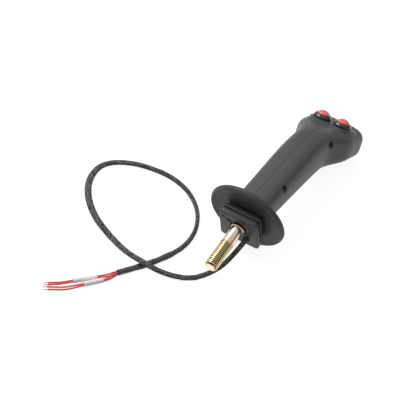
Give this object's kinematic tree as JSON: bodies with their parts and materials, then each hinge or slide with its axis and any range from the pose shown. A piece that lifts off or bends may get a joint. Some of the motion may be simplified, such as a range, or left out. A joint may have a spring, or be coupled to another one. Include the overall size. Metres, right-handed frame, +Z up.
{
  "type": "industrial joystick",
  "caption": "Hand grip of an industrial joystick with a round guard, push buttons in its head, a screw-in stud and a braided lead with stripped wires.",
  "frame": {"origin": "middle of the bounding box of the lying grip without its lead, on the table", "axes": "+X to the operator's right across the two buttons, +Y from the stud towards the head, +Z up from the table, out of the front of the grip"},
  "size_m": [0.1986, 0.3176, 0.0731],
  "materials": {
    "shell": "fine satin moulded plastic, dark grey",
    "guard": "satin dark grey",
    "base": "satin dark grey",
    "zinc": "yellow iridescent zinc passivated steel",
    "screw": "blackened steel",
    "bezel": "gloss black",
    "seal": "black",
    "nut": "nickel plated",
    "cap": "gloss red",
    "plunger": "natural nylon",
    "contact_brass": "plain",
    "spring": "bright spring steel",
    "contact_block": "black phenolic",
    "wire": "satin red insulation",
    "braid": "black braided sleeve with grey flecks",
    "tie": "natural nylon",
    "shrink": "satin dark grey heat-shrink",
    "sleeve": "white marker sleeve",
    "tinned": "tinned copper"
  },
  "bodies": {
    "grip": {"left_shell": "shell", "right_shell": "shell", "guard": "guard", "base_block": "base", "mounting_stud": "zinc", "shell_screws": "screw", "left_bezel": "bezel", "left_seal": "seal", "left_nut": "nut", "left_spring": "spring", "left_contacts": "contact_block", "left_terminals": "contact_brass", "right_bezel": "bezel", "right_seal": "seal", "right_nut": "nut", "right_spring": "spring", "right_contacts": "contact_block", "right_terminals": "contact_brass", "left_inner_wires": "wire", "right_inner_wires": "wire", "inner_lead": "braid", "cable_tie": "tie", "braided_lead": "braid", "heat_shrink": "shrink", "wire_1": "wire", "wire_2": "wire", "wire_3": "wire", "wire_4": "wire", "upper_sleeve": "sleeve", "lower_sleeve": "sleeve", "wire_tips": "tinned"},
    "left_button": {"left_cap": "cap", "left_plunger": "plunger", "left_bridge": "contact_brass"},
    "right_button": {"right_cap": "cap", "right_plunger": "plunger", "right_bridge": "contact_brass"}
  },
  "joints": [
    {"name": "left_press", "type": "slide", "parent": "grip", "child": "left_button", "axis": [0, -0.5148, -0.8573], "range_m": [0, 0.0018], "stiffness_N_per_m": 1200, "deforming": ["left_spring"]},
    {"name": "right_press", "type": "slide", "parent": "grip", "child": "right_button", "axis": [0, -0.5148, -0.8573], "range_m": [0, 0.0018], "stiffness_N_per_m": 1200, "deforming": ["right_spring"]}
  ]
}
